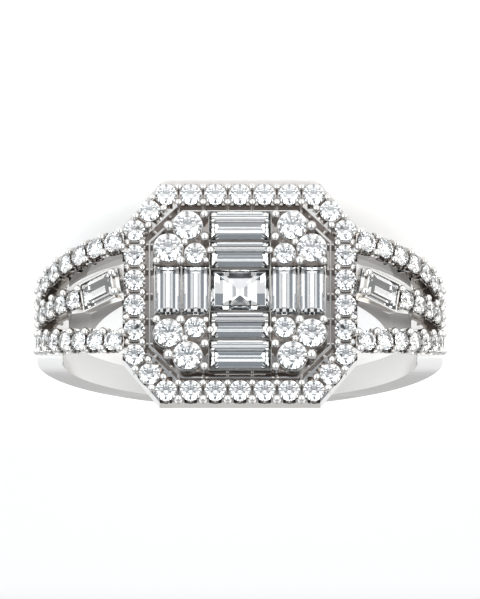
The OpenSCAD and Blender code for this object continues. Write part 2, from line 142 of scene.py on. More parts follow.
# Beads of the halo and of the rows: radius, how far to either side of their line, and how high.
HALO_BEAD_R = 0.20
HALO_BEAD_ACROSS = 0.39
HEAD_BEAD_LIFT = 0.02
ROW_BEAD_R = 0.195
ROW_BEAD_ACROSS = 0.41
ROW_BEAD_LIFT = 0.10
ROW_END_BEAD_R = 0.17
PRONG_R = 0.20

# The middle arm in plan, the end of the gaps beside it, and the arch under it: centre and radius.
ARM_ROOT_X = 4
ARM_HEAD_Y = (-1.05, 0.50)
ARM_WIDE = (7.35, 0.79)
ARM_TAIL = (8.75, 0.60)
WINDOW_END_X = 8.28
ARCH = (-2.63, 4.77, 9.78)
# The head stands in a +X shoulder's way up to here.
HEAD_SPACE_X = HALO_HALF_X - 0.06

# Reach of tools and blanks: heights of those that cut a shoulder from above, and half the length of
# those that pass the ring along the finger or across it. A rod that cuts a long curve has fine sides.
FROM_ABOVE = (3, 15)
HALF_ALONG = 6
HALF_ACROSS = 14
FINE_SIDES = 180

FINGER_HOLE = frame["record"]["mounts"][0]
AXIS = Vector(FINGER_HOLE["axis"])
REST_TILT = math.atan2(AXIS.y, AXIS.z)
REST = (Matrix.Translation(FINGER_HOLE["pos_m"])
        @ Matrix.Rotation(math.pi / 2 - REST_TILT, 4, "X") @ Matrix.Scale(METRES, 4))
MIRROR_X = Matrix.Scale(-1, 4, (1, 0, 0))
# These turn an X-Y outline so that it is seen along the finger hole or across the ring.
ALONG_FINGER = Matrix.Rotation(math.pi / 2, 4, "X")
ACROSS_RING = Matrix(((0, 0, 1, 0), (1, 0, 0, 0), (0, 1, 0, 0), (0, 0, 0, 1)))


# Modelling helpers

def only(*pieces):
    """Selects these pieces and nothing else; the last one is active."""
    bpy.ops.object.select_all(action="DESELECT")
    for piece in pieces:
        piece.select_set(True)
    bpy.context.view_layer.objects.active = pieces[-1]


def named(name):
    """Names the active piece and its mesh."""
    piece = bpy.context.object
    piece.name = name
    piece.data.name = name
    return piece


def finish_with(piece, kind, **settings):
    """Adds a modifier and applies it."""
    only(piece)
    modifier = piece.modifiers.new(kind.title(), kind)
    for setting, value in settings.items():
        setattr(modifier, setting, value)
    bpy.ops.object.modifier_apply(modifier=modifier.name)


def place(piece, matrix):
    """Moves a piece and applies its place, so that the piece is back at the origin."""
    only(piece)
    piece.matrix_world = matrix
    bpy.ops.object.transform_apply(location=True, rotation=True, scale=True)
    if matrix.determinant() < 0:
        bpy.ops.object.mode_set(mode="EDIT")
        bpy.ops.mesh.select_all(action="SELECT")
        bpy.ops.mesh.flip_normals()
        bpy.ops.object.mode_set(mode="OBJECT")
    return piece


def twin(piece, matrix):
    """A copy of a piece with its own mesh, moved by a matrix."""
    only(piece)
    bpy.ops.object.duplicate()
    return place(bpy.context.object, matrix)


def copies_at(master, places):
    """Copies of a piece at many places; the piece itself is thrown away."""
    copies = [twin(master, there) for there in places]
    bpy.data.objects.remove(master)
    return copies


def join(name, pieces):
    """Makes one piece of several."""
    only(*pieces)
    if len(pieces) > 1:
        bpy.ops.object.join()
    return named(name)


def combine(piece, tool, how):
    """Cuts a tool's volume away or keeps only what lies in it, and throws the tool away."""
    rods_overlap = tool.name in ("notches", "scallops")
    finish_with(piece, "BOOLEAN", object=tool, operation=how, solver="EXACT", use_self=rods_overlap)
    bpy.data.objects.remove(tool)
    return piece


def slab(name, outline, low, high):
    """A flat outline in X and Y, drawn up from one height to another."""
    bpy.ops.mesh.primitive_circle_add(vertices=len(outline), fill_type="NGON", location=(0, 0, 0))
    piece = named(name)
    for corner, (x, y) in zip(piece.data.vertices, outline):
        corner.co = (x, y, low)
    bpy.ops.object.mode_set(mode="EDIT")
    bpy.ops.mesh.select_all(action="SELECT")
    bpy.ops.mesh.extrude_region_move(TRANSFORM_OT_translate={"value": (0, 0, high - low)})
    bpy.ops.mesh.select_all(action="SELECT")
    bpy.ops.mesh.normals_make_consistent(inside=False)
    bpy.ops.object.mode_set(mode="OBJECT")
    return piece


def wall_between(name, outside, inside, low, high):
    """A wall between two outlines."""
    wall = slab(name, outside, low, high)
    return combine(wall, slab("inside", inside, low - 1, high + 1), "DIFFERENCE")


def rod(radius, low, high, sides=32):
    """An upright rod round the Z axis."""
    bpy.ops.mesh.primitive_cylinder_add(vertices=sides, radius=radius, depth=high - low,
                                        location=(0, 0, (low + high) / 2))
    return place(bpy.context.object, bpy.context.object.matrix_world.copy())


def rod_along_finger(radius, centre_x=0, centre_z=0, sides=FINE_SIDES):
    """A long rod that lies along the finger hole's axis."""
    return place(rod(radius, -HALF_ALONG, HALF_ALONG, sides), shift(centre_x, 0, centre_z) @ ALONG_FINGER)


def cutters(name, places, radius, low, high):
    """Rods at many places, joined as one tool; each stands along its place's own Z."""
    return join(name, copies_at(rod(radius, low, high, 20), places))


def mirrored(piece, *axes):
    """Keeps a piece's positive side across each axis (0 is X, 1 is Y) and mirrors it."""
    for axis in axes:
        only(piece)
        bpy.ops.object.mode_set(mode="EDIT")
        bpy.ops.mesh.select_all(action="SELECT")
        bpy.ops.mesh.bisect(plane_co=(0, 0, 0), plane_no=(axis == 0, axis == 1, 0), clear_inner=True)
        bpy.ops.object.mode_set(mode="OBJECT")
        finish_with(piece, "MIRROR", use_axis=(axis == 0, axis == 1, False), merge_threshold=0.0005)
    return piece


def soften(piece, width, steps=3):
    """Rounds the sharp edges and smooths what is left."""
    finish_with(piece, "WELD", merge_threshold=0.008)
    finish_with(piece, "BEVEL", width=width, segments=steps, limit_method="ANGLE",
                angle_limit=math.radians(32), use_clamp_overlap=True, harden_normals=False)
    only(piece)
    bpy.ops.object.shade_smooth_by_angle(angle=math.radians(35))


def turn(degrees, axis="Z"):
    return Matrix.Rotation(math.radians(degrees), 4, axis)


def shift(x, y, z=0):
    return Matrix.Translation((x, y, z))


def oblong(half_x, half_y):
    return [(-half_x, -half_y), (half_x, -half_y), (half_x, half_y), (-half_x, half_y)]


def octagon(corner, inset=(0, 0)):
    """An octagon from its two corners at +X and +Y, brought in by so much in X and in Y."""
    (ax, ay), (bx, by) = corner
    ax, ay, bx, by = ax - inset[0], ay - inset[1], bx - inset[1], by - inset[0]
    return [(ax, ay), (bx, by), (bx, -by), (ax, -ay), (-ax, -ay), (-bx, -by), (-bx, by), (-ax, ay)]


def arc(centre_x, centre_y, radius, start, end, steps):
    angles = [math.radians(start + (end - start) * i / steps) for i in range(steps + 1)]
    return [(centre_x + radius * math.cos(a), centre_y + radius * math.sin(a)) for a in angles]


# Places of the stones and beads

def row_angle(i):
    """Angle on the shoulder's arc of an outer row's stone i."""
    return ROW_START - ROW_STEP * i


def row_x(i):
    return ARC_X + ARC_OUTER_R * math.cos(math.radians(row_angle(i)))


def row_z(i):
    return ARC_Z + ARC_OUTER_R * math.sin(math.radians(row_angle(i)))


def spread(i):
    """Distance of an outer row from the middle plane at its stone i."""
    return SPREAD_START - SPREAD_CLOSING * i - SPREAD_CURVING * i * i


def row_slant(i):
    return math.degrees(math.atan((spread(i - 0.5) - spread(i + 0.5)) / ROW_PITCH))


def middle_angle(i):
    """Angle on the shoulder's arc of the middle row's stone i."""
    return row_angle(MIDDLE_FIRST + i)


def quarters(first, last):
    """Places along a row from one to another, a quarter of a stone's step apart."""
    step = 0.25 if last > first else -0.25
    return [first + step * k for k in range(round((last - first) / step) + 1)]


def on_shoulder(side, angle, across, radius):
    """A place on a shoulder with its local Z pointing out of the metal; side 1 is +X and -1 is -X."""
    there = shift(ARC_X, across, ARC_Z) @ turn(90 - angle, "Y") @ shift(0, 0, radius)
    return there if side > 0 else MIRROR_X @ there


def in_row(side, s, i, radius=ARC_OUTER_R):
    """A place in an outer row, turned to its slant; s is 1 in the lower row and -1 in the upper one."""
    return on_shoulder(side, row_angle(i), s * spread(i), radius) @ turn(-s * row_slant(i))


def shoulder_places():
    """Stone places of the +X shoulder's three rows."""
    outer = [in_row(1, s, i) for s in (-1, 1) for i in range(OUTER_COUNT)]
    return outer + [on_shoulder(1, middle_angle(i), 0, ARC_OUTER_R) for i in range(MIDDLE_COUNT)]


def baguette_seat(side):
    return (on_shoulder(side, SIDE_BAG_ANGLE, SIDE_BAG_ACROSS, ARC_OUTER_R + SIDE_BAG_LIFT)
            @ turn(SIDE_BAG_TURN) @ turn(SIDE_BAG_LEAN, "Y"))


def halo_places():
    """Stone places round the halo, each with the direction that faces out of the band."""
    (top_x, top_y), (side_x, side_y) = HALO_CORNER
    places = []
    for s in (-1, 1):
        for i in range(HALO_ROW_COUNT):
            x = -HALO_ROW_HALF + 2 * HALO_ROW_HALF * i / (HALO_ROW_COUNT - 1)
            places.append((x, s * HALO_ROW_Y, 90 if s > 0 else -90))
        for i in range(HALO_SIDE_COUNT):
            y = -HALO_SIDE_HALF + 2 * HALO_SIDE_HALF * i / (HALO_SIDE_COUNT - 1)
            places.append((s * HALO_SIDE_X, y, 0 if s > 0 else 180))
        for t in (-1, 1):
            facing = math.degrees(math.atan2(t * (side_x - top_x), s * (top_y - side_y)))
            places.append((s * HALO_CORNER_STONE[0], t * HALO_CORNER_STONE[1], facing))
    return places


def halo_bead_places():
    """Places between neighbouring halo stones, each with the direction that faces out of the band."""
    ring = sorted(halo_places(), key=lambda p: math.atan2(p[1], p[0]))
    places = []
    for a, b in zip(ring, ring[1:] + ring[:1]):
        facing = math.degrees(math.atan2(b[1] - a[1], b[0] - a[0])) - 90
        places.append(((a[0] + b[0]) / 2, (a[1] + b[1]) / 2, facing))
    return places


def corner_rounds():
    """Every corner round of the cluster: place and radius."""
    return [(shift(sx * x, sy * y), diameter / 2) for sx in (-1, 1) for sy in (-1, 1)
            for kind, (x, y), diameter in CORNER_ROUNDS]


# Materials

class Socket:
    """A socket that can be used in sums, so that shader maths reads as plain expressions."""

    def __init__(self, tree, source):
        self.tree = tree
        self.source = source

    def node(self, kind, inputs, output=0, **settings):
        """Any node: its settings first, and then the values or links of its sockets."""
        made = self.tree.nodes.new(kind)
        for setting, value in settings.items():
            setattr(made, setting, value)
        for key, value in inputs.items():
            if isinstance(value, Socket):
                self.tree.links.new(value.source, made.inputs[key])
            else:
                made.inputs[key].default_value = value
        return Socket(self.tree, made.outputs[output])

    def maths(self, operation, first, second=0.0):
        return self.node("ShaderNodeMath", {0: first, 1: second}, operation=operation)

    def ramp(self, low, high, interpolation="LINEAR"):
        """Runs from 0 to 1 while this value runs from low to high."""
        return self.node("ShaderNodeMapRange", {0: self, 1: low, 2: high}, interpolation_type=interpolation)

    def blend(self, low, high):
        """Runs from one colour to the other while this value runs from 0 to 1."""
        return self.node("ShaderNodeMix", {0: self, 6: low, 7: high}, output=2, data_type="RGBA")

    def noise(self, scale, detail):
        """A cloudy pattern that lies on these coordinates."""
        return self.node("ShaderNodeTexNoise", {"Vector": self, "Scale": scale, "Detail": detail},
                         noise_dimensions="3D")

    def __add__(self, other):
        return self.maths("ADD", self, other)

    __radd__ = __add__

    def __mul__(self, other):
        return self.maths("MULTIPLY", self, other)

    __rmul__ = __mul__

    def __sub__(self, other):
        return self.maths("SUBTRACT", self, other)

    def __rsub__(self, other):
        return self.maths("SUBTRACT", other, self)


def new_material(name):
    """A material with its shader, and a first socket for the object's own coordinates."""
    material = bpy.data.materials.new(name)
    material.use_nodes = True
    tree = material.node_tree
    shader = tree.nodes["Principled BSDF"]
    where = tree.nodes.new("ShaderNodeTexCoord")
    return material, shader, Socket(tree, where.outputs["Object"])


def link(socket, shader, name):
    socket.tree.links.new(socket.source, shader.inputs[name])


BLACK = (0, 0, 0, 1)
# Metal where no shade is painted, and the colours of painted shade in its folds: warm, and light for the
# seats.
UNSHADED_METAL = (0.77, 0.76, 0.745, 1)
WARM_PAINTED_SHADE = (0.26, 0.22, 0.195, 1)
LIGHT_PAINTED_SHADE = (0.60, 0.575, 0.55, 1)


def polished_gold(name, fold, hollow_shade_colour, open_at=0.62):
    """White gold, polished, with faint wear in its gloss.

    It takes painted fold shade in narrow folds, and painted hollow shade in wide hollows that are
    less open than open_at, and its folds glow faintly in their shade colour as painted light.
    """
    gloss, wear = 0.05, 0.06
    fold_width, fold_shut, fold_open = 0.5 * METRES, 0.05, 0.60
    hollow_width, hollow_shut = 8.0 * METRES, 0.12
    material, shader, where = new_material(name)
    shader.inputs["Metallic"].default_value = 1.0
    link(where.noise(900.0, 3.0) * wear + gloss, shader, "Roughness")
    # Painted shade: two ambient-occlusion masks darken the base colour, in narrow folds and in wide hollows.
    crevice = where.node("ShaderNodeAmbientOcclusion", {"Distance": fold_width}, output=1, samples=6)
    hollow = where.node("ShaderNodeAmbientOcclusion", {"Distance": hollow_width}, output=1, samples=6)
    outside_folds = crevice.ramp(fold_shut, fold_open)
    lit = hollow.ramp(hollow_shut, open_at)
    link(outside_folds.blend(fold, lit.blend(hollow_shade_colour, UNSHADED_METAL)), shader, "Base Color")
    # Painted light: the folds glow faintly in their painted shade colour.
    link(outside_folds.blend(fold, BLACK), shader, "Emission Color")
    shader.inputs["Emission Strength"].default_value = 0.13
    return material


def clear_stone():
    """A colourless cut stone that bends the light as a real one does, with a faint cloud in its tint."""
    material, shader, where = new_material("clear_stone")
    link(where.noise(700.0, 2.0).blend((0.97, 0.985, 1.0, 1), (1.0, 1.0, 0.995, 1)), shader, "Base Color")
    shader.inputs["Roughness"].default_value = 0.0
    shader.inputs["IOR"].default_value = 2.417
    shader.inputs["Transmission Weight"].default_value = 1.0
    return material


# Painted shade differs between these golds: darker in the shank's hollows, darkest in the arms' hollows, and
# light in the seats' folds and hollows.
GOLD = polished_gold("polished_white_gold", WARM_PAINTED_SHADE, (0.62, 0.60, 0.58, 1))
SHANK_GOLD = polished_gold("shank_white_gold", WARM_PAINTED_SHADE, (0.40, 0.38, 0.36, 1), 0.80)
ARM_GOLD = polished_gold("arm_white_gold", WARM_PAINTED_SHADE, (0.10, 0.09, 0.08, 1), 0.98)
SEAT_GOLD = polished_gold("white_gold_light_painted_shade", LIGHT_PAINTED_SHADE, LIGHT_PAINTED_SHADE)
STONE = clear_stone()


def dress(piece, material):
    """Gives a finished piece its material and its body."""
    piece.data.materials.clear()
    piece.data.materials.append(material)
    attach(piece, "root")


def lay_down(piece):
    return place(piece, REST)


# Stones

def facet(azimuth, slope, point, down=False):
    """Grinds one flat facet: all beyond the plane goes."""
    a, b = math.radians(azimuth), math.radians(slope)
    normal = (math.sin(b) * math.cos(a), math.sin(b) * math.sin(a), -math.cos(b) if down else math.cos(b))
    bpy.ops.mesh.select_all(action="SELECT")
    bpy.ops.mesh.bisect(plane_co=point, plane_no=normal, use_fill=True, clear_outer=True, threshold=0.00001)


def round_brilliant():
    """A round stone of radius 1 with its girdle's top at height 0, ground facet by facet from a rod."""
    girdle = 0.06
    table = 0.57
    crown_slope, star_slope, upper_slope = 34.5, 21.4, 41.1
    main_slope, lower_slope = 40.75, 41.94
    step = 22.5
    crown = (1 - table) * math.tan(math.radians(crown_slope))
    edge = math.cos(math.radians(step / 2))
    bpy.ops.mesh.primitive_cylinder_add(vertices=16, radius=1, depth=3, location=(0, 0, 0))
    stone = named("round_stone")
    bpy.ops.object.mode_set(mode="EDIT")

    def at(azimuth, radius, height):
        a = math.radians(azimuth)
        return (radius * math.cos(a), radius * math.sin(a), height)

    facet(0, 0, (0, 0, crown))
    for i in range(8):
        main = 2 * step * i
        star = main + step
        facet(main, crown_slope, at(main, 1, 0))
        facet(star, star_slope, at(star, table * math.cos(math.radians(step)), crown))
        facet(main, main_slope, at(main, 1, -girdle), down=True)
    for i in range(16):
        half = step * i + step / 2
        facet(half, upper_slope, at(half, edge, 0))
        facet(half, lower_slope, at(half, edge, -girdle), down=True)
    bpy.ops.object.mode_set(mode="OBJECT")
    return stone


def step_cut(size, upright=False):
    """A step-cut stone with its girdle's top at height 0, ground from a block.

    Its steps run along Y where it is upright, and otherwise along X. Below the girdle they are
    steeper at the stone's ends, and flatter in a stone that is broad across them.
    """
    half_x, half_y = size[0] / 2, size[1] / 2
    short = min(half_x, half_y)
    across = half_x if upright else half_y
    # Each step: its slope, and how far in from the girdle it starts, as a share of the half width.
    crown_steps = ((46, 0.0), (30, 0.16))
    pavilion_steps = ((52, 0.0), (45, 0.30), (38, 0.62))
    crown_height = 0.19
    girdle = 0.07
    end_steepness = 1.55
    flattening = 0.25
    block_half_height = 1.5
    bpy.ops.mesh.primitive_cube_add(size=2, location=(0, 0, 0))
    stone = named("step_stone")
    stone.scale = (half_x, half_y, block_half_height)
    bpy.ops.object.transform_apply(location=False, rotation=False, scale=True)
    bpy.ops.object.mode_set(mode="EDIT")
    facet(0, 0, (0, 0, crown_height))
    for down, steps, start in ((False, crown_steps, 0.0), (True, pavilion_steps, -girdle)):
        height, inset = start, 0.0
        width = across if down else short
        flatter = (short / width) ** flattening
        for i, (slope, from_edge) in enumerate(steps):
            if i:
                run = (from_edge - inset) * width
                fall = run * flatter * math.tan(math.radians(steps[i - 1][0]))
                height += -fall if down else fall
                inset = from_edge
            for azimuth, reach in ((0, half_x), (90, half_y), (180, half_x), (270, half_y)):
                a = math.radians(azimuth)
                at_end = (azimuth % 180 == 90) == upright
                steeper = end_steepness if down and at_end else 1
                r = reach - inset * width / steeper
                tilt = math.degrees(math.atan(steeper * flatter * math.tan(math.radians(slope))))
                facet(azimuth, tilt, (r * math.cos(a), r * math.sin(a), height), down)
    bpy.ops.object.mode_set(mode="OBJECT")
    return stone


def set_stone(stone, node):
    """Lays a finished stone in the ring, in the place of its plain solid."""
    lay_down(stone)
    stone.name = f"cut_{node}"
    dress(stone, STONE)
    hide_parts(node)


def set_field(node, stone, places, diameter):
    """Copies of one round stone, joined as the field that stands for a node."""
    copies = [twin(stone, there @ Matrix.Scale(diameter / 2, 4)) for there in places]
    set_stone(join(f"cut_{node}", copies), node)


def halo_stones(brilliant):
    places = [shift(x, y, HALO_Z) @ turn(facing) for x, y, facing in halo_places()]
    set_field("halo_stones", brilliant, places, HALO_D)


def shoulder_stones(brilliant, side, side_name):
    """Three rows of rounds, each round turned a little against the one before it, and the baguette."""
    outer_turn, middle_turn = 9, 14
    radius = ARC_OUTER_R + ROW_LIFT
    for up, row_name in ((1, "top"), (-1, "bottom")):
        places = [on_shoulder(side, row_angle(i), -up * spread(i), radius) @ turn(outer_turn * i)
                  for i in range(OUTER_COUNT)]
        set_field(f"{side_name}_{row_name}_row_stones", brilliant, places, ROW_D)
    places = [on_shoulder(side, middle_angle(i), 0, radius) @ turn(middle_turn * i)
              for i in range(MIDDLE_COUNT)]
    set_field(f"{side_name}_middle_row_stones", brilliant, places, ROW_D)
    set_stone(place(step_cut(SIDE_BAG_SIZE), baguette_seat(side)), f"{side_name}_shoulder_baguette")


def corner_stones(brilliant, side, side_name):
    """The rounds of the cluster's two corners on one side."""
    side_turn, up_turn = 17, 31
    for up, end, end_name in ((1, "top", "upper"), (-1, "bottom", "lower")):
        for kind, (x, y), diameter in CORNER_ROUNDS:
            node = f"{end}_{side_name}_{end_name if kind == 'end' else kind}_round"
            there = shift(side * x, -up * y, CLUSTER_Z) @ turn(side_turn * side + up_turn * up)
            set_stone(twin(brilliant, there @ Matrix.Scale(diameter / 2, 4)), node)


def cluster_step_stones():
    """The centre stone, whose steps run upright as its neighbours' do, and the eight baguettes."""
    for node, (x, y), size in STEP_STONES:
        upright = size[0] < size[1] or node == "centre_stone"
        set_stone(place(step_cut(size, upright), shift(x, y, CLUSTER_Z)), node)


def make_stones():
    """Every stone of the ring; the rounds are copies of one."""
    brilliant = round_brilliant()
    halo_stones(brilliant)
    for side, side_name in SIDES:
        shoulder_stones(brilliant, side, side_name)
        corner_stones(brilliant, side, side_name)
    bpy.data.objects.remove(brilliant)
    cluster_step_stones()


# Shank and shoulders

# The gold given to each piece carries its painted shade.
def set_metal(piece, shaded_gold=GOLD):
    """Lays a finished piece of metal in the ring, in the place of the plain setting."""
    finish_with(piece, "WEIGHTED_NORMAL", keep_sharp=True)
    lay_down(piece)
    dress(piece, shaded_gold)
    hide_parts("setting")


def set_pair(piece, shaded_gold=GOLD):
    """Sets a shoulder's piece on +X and its mirrored twin on -X."""
    other = twin(piece, MIRROR_X)
    set_metal(piece, shaded_gold)
    set_metal(other, shaded_gold)


def clear_head(piece):
    """Clears the head's place out of a piece of the +X shoulder."""
    half_y = 9
    outline = [(-1, -half_y), (HEAD_SPACE_X, -half_y), (HEAD_SPACE_X, half_y), (-1, half_y)]
    combine(piece, slab("head_space", outline, *FROM_ABOVE), "DIFFERENCE")


def cut_row_seats(piece):
    """Cuts the seats of the +X shoulder's rows."""
    combine(piece, cutters("seats", shoulder_places(), SEAT_R, -SEAT_DEPTH, SEAT_DEPTH), "DIFFERENCE")


def side_outline():
    """Ring's +X half seen along the finger: its outer face, and back along the finger's side of it.

    Both ends reach a little past the middle plane, where the band is mirrored.
    """
    past = 2
    foot_x = (SHANK_R, SHANK_R - SHOULDER_FOOT_STEP, ARC_X + ARC_OUTER_R)
    meet = math.degrees(math.acos((ARC_X + ARC_INNER_R) / BORE_R))
    outer = arc(0, 0, SHANK_R, 270 - past, 360, 60) + list(zip(foot_x, SHOULDER_FOOT_Z))
    outer += arc(ARC_X, ARC_Z, ARC_OUTER_R, 0, ARC_END, 60)
    inner = arc(ARC_X, ARC_Z, ARC_INNER_R, ARC_END, 0, 60) + arc(0, 0, BORE_R, meet, -90 - past, 90)
    return outer + inner


def width_outline():
    """Ring seen from the side: how wide it is at each height, by a curve below the rows."""
    steps, under_rows = 30, 0.4
    past_head_z, past_head_wider = 13, 0.2
    last = OUTER_COUNT - 0.5
    top = row_z(last)
    widening = spread(last) + ROW_WALL - BACK_HALF_W
    half = [(-SHANK_R - 1, BACK_HALF_W)]
    for k in range(steps + 1):
        z = WIDENING_FROM_Z + (top - under_rows - WIDENING_FROM_Z) * k / steps
        along = (z - WIDENING_FROM_Z) / (top - WIDENING_FROM_Z)
        wider = EVEN_WIDENING * along + (widening - EVEN_WIDENING) * along ** WIDENING_POWER
        half.append((z, BACK_HALF_W + wider))
    half += [(row_z(i), spread(i) + ROW_WALL) for i in quarters(last, -1)]
    half.append((past_head_z, half[-1][1] + past_head_wider))
    return [(w, z) for z, w in half] + [(-w, z) for z, w in reversed(half)]


def width_blank():
    """The room between the ring's two side faces."""
    return place(slab("width", width_outline(), -HALF_ACROSS, HALF_ACROSS), ACROSS_RING)


def window_outline(s):
    """One gap beside the +X shoulder's middle arm; s is 1 on the lower side and -1 on the upper one."""
    end_step, arm_step = 0.05, 0.12
    row_half = ROW_D / 2 + 0.12
    edge = [(row_x(i), s * (spread(i) - row_half)) for i in quarters(-1, OPEN_COUNT - 0.25)
            if row_x(i) < WINDOW_END_X]
    end = [(WINDOW_END_X, edge[-1][1] - s * end_step), (WINDOW_END_X, s * (ARM_WIDE[1] - arm_step))]
    head_y = ARM_HEAD_Y[1] if s > 0 else ARM_HEAD_Y[0]
    return edge + end + [(ARM_WIDE[0], s * ARM_WIDE[1]), (HALO_HALF_X, head_y), (edge[0][0], head_y)]


def groove_outline(s):
    """The shallow cut between two rows, past the end of the gap: in Y and Z."""
    first, last, least_width = 2.5, 6.5, 0.03
    row_half = ROW_D / 2 + 0.06
    edge = [(s * (spread(i) - row_half), row_z(i)) for i in quarters(first, last)
            if spread(i) - row_half > row_half + least_width]
    return edge + [(s * row_half, z) for y, z in reversed(edge)]


def groove_tool(s):
    """Tool for that cut, which leaves the groove's floor."""
    inner_x, outer_x, sides = 5, 13, 120
    groove = place(slab("groove", groove_outline(s), inner_x, outer_x), ACROSS_RING)
    below = rod_along_finger(ARC_OUTER_R - GROOVE_DEPTH, ARC_X, ARC_Z, sides)
    return combine(groove, below, "DIFFERENCE")


def row_scallops():
    """Tool for the hollows in an outer row's edges: both edges beside a gap, and then the outer one."""
    radius, outward, closed_inward = 0.36, 0.75, 0.3
    places = []
    for s in (-1, 1):
        for i in range(OUTER_COUNT):
            inward = outward if i < OPEN_COUNT else closed_inward
            middle = in_row(1, s, i) @ shift(0, s * (outward - inward) / 2)
            places.append(middle @ turn(-90, "X") @ Matrix.Diagonal((1, 1, inward + outward, 1)))
    return cutters("scallops", places, radius, -0.5, 0.5)


def shank():
    """The band of the ring with both shoulders, opened beside the middle arms and scalloped for the rows."""
    root_half_y, end_half_y = 1.5, 0.75
    band = place(slab("shank", side_outline(), -HALF_ALONG, HALF_ALONG), ALONG_FINGER)
    combine(band, width_blank(), "INTERSECT")
    clear_head(band)
    arm_space = [(ARM_ROOT_X, -root_half_y), (WINDOW_END_X, -end_half_y),
                 (WINDOW_END_X, end_half_y), (ARM_ROOT_X, root_half_y)]
    combine(band, slab("arm_space", arm_space, *FROM_ABOVE), "DIFFERENCE")
    for s in (-1, 1):
        combine(band, slab("window", window_outline(s), *FROM_ABOVE), "DIFFERENCE")
        combine(band, groove_tool(s), "DIFFERENCE")
    cut_row_seats(band)
    combine(band, row_scallops(), "DIFFERENCE")
    mirrored(band, 0)
    soften(band, 0.05)
    set_metal(band, SHANK_GOLD)


def arm_outline():
    """The middle arm of the +X shoulder from above, fuller on its upper side."""
    fuller_at_head, fuller_at_widest, end_x = 0.26, 0.14, 12
    (wide_x, wide_y), (tail_x, tail_y) = ARM_WIDE, ARM_TAIL
    low, high = ARM_HEAD_Y[0] - fuller_at_head, ARM_HEAD_Y[1]
    upper = [(ARM_ROOT_X, low), (HALO_HALF_X, low), (wide_x, -wide_y - fuller_at_widest),
             (tail_x, -tail_y), (end_x, -tail_y)]
    lower = [(end_x, tail_y), (tail_x, tail_y), (wide_x, wide_y), (HALO_HALF_X, high), (ARM_ROOT_X, high)]
    return upper + lower


def arm_profile():
    """The middle arm seen along the finger, which steps down to the groove's floor past the gaps."""
    tail_x, low, bend_z = 9.2, 2, 4.6
    floor_start, past_gap = 4, 0.02
    floor_r = ARC_OUTER_R - GROOVE_DEPTH
    reach = WINDOW_END_X + past_gap - ARC_X
    floor_end, top_end = (math.degrees(math.acos(reach / r)) for r in (floor_r, ARC_OUTER_R))
    edge = [(tail_x, low), (tail_x, bend_z)] + arc(ARC_X, ARC_Z, floor_r, floor_start, floor_end, 20)
    edge += arc(ARC_X, ARC_Z, ARC_OUTER_R, top_end, ARC_END, 40)
    return [(ARM_ROOT_X, low)] + edge + [(ARM_ROOT_X, edge[-1][1])]


def middle_arms():
    """The arms between the gaps, arched below, which carry the baguette and the middle row."""
    under, pocket_depth = 0.02, 1.1
    arm = place(slab("middle_arm", arm_profile(), -HALF_ALONG, HALF_ALONG), ALONG_FINGER)
    combine(arm, slab("plan", arm_outline(), 0.6, 13), "INTERSECT")
    combine(arm, width_blank(), "INTERSECT")
    arch_x, arch_z, arch_r = ARCH
    combine(arm, rod_along_finger(arch_r, arch_x, arch_z), "DIFFERENCE")
    combine(arm, rod_along_finger(BORE_R), "DIFFERENCE")
    clear_head(arm)
    length, width = SIDE_BAG_SIZE
    pocket = slab("pocket", oblong(length / 2 - under, width / 2 - under), -pocket_depth, 2)
    combine(arm, place(pocket, baguette_seat(1)), "DIFFERENCE")
    cut_row_seats(arm)
    soften(arm, 0.05)
    set_pair(arm, ARM_GOLD)


def row_keels():
    """Deep inner walls under the outer rows, from the head to where the gaps close."""
    under_face, inner_x, inner_r, inner_end = 0.45, 4.30, 4.33, 72
    inward, outward = 0.60, 0.25
    profile = arc(ARC_X, ARC_Z, ARC_OUTER_R - under_face, 0, ARC_END, 40)
    profile += arc(inner_x, ARC_Z, inner_r, inner_end, 0, 40)
    for s in (-1, 1):
        row = [(row_x(i), spread(i)) for i in quarters(-1.5, OPEN_COUNT - 0.25)]
        plan = [(x, s * (y - inward)) for x, y in row] + [(x, s * (y - outward)) for x, y in reversed(row)]
        keel = slab("row_keel", plan, *FROM_ABOVE)
        combine(keel, place(slab("profile", profile, -HALF_ALONG, HALF_ALONG), ALONG_FINGER), "INTERSECT")
        clear_head(keel)
        soften(keel, 0.05)
        set_pair(keel)


def baguette_bezels():
    """The rim round each shoulder baguette."""
    play, rim = 0.03, 0.10
    half_l, half_w = SIDE_BAG_SIZE[0] / 2 + play, SIDE_BAG_SIZE[1] / 2 + play
    bezel = wall_between("baguette_bezel", oblong(half_l + rim, half_w + rim), oblong(half_l, half_w),
                         -0.5, 0.04)
    place(bezel, baguette_seat(1))
    soften(bezel, 0.03)
    set_pair(bezel, SEAT_GOLD)


def claw_bases():
    """The claws' base at each shoulder baguette's end by the head."""
    play, beyond, half_t = 0.03, 0.20, 0.22
    half_l, half_w = SIDE_BAG_SIZE[0] / 2 + play, SIDE_BAG_SIZE[1] / 2 + play
    base = place(slab("claw_base", oblong(half_t, half_w), -1.0, -0.10),
                 baguette_seat(1) @ shift(-half_l - beyond, 0))
    clear_head(base)
    soften(base, 0.08)
    set_pair(base)


# Head

def in_quarter(places):
    """Those places that the quarter at +X and +Y needs, a little past the middle planes too."""
    past = 0.9
    return [(x, y, facing) for x, y, facing in places if x > -past and y > -past]


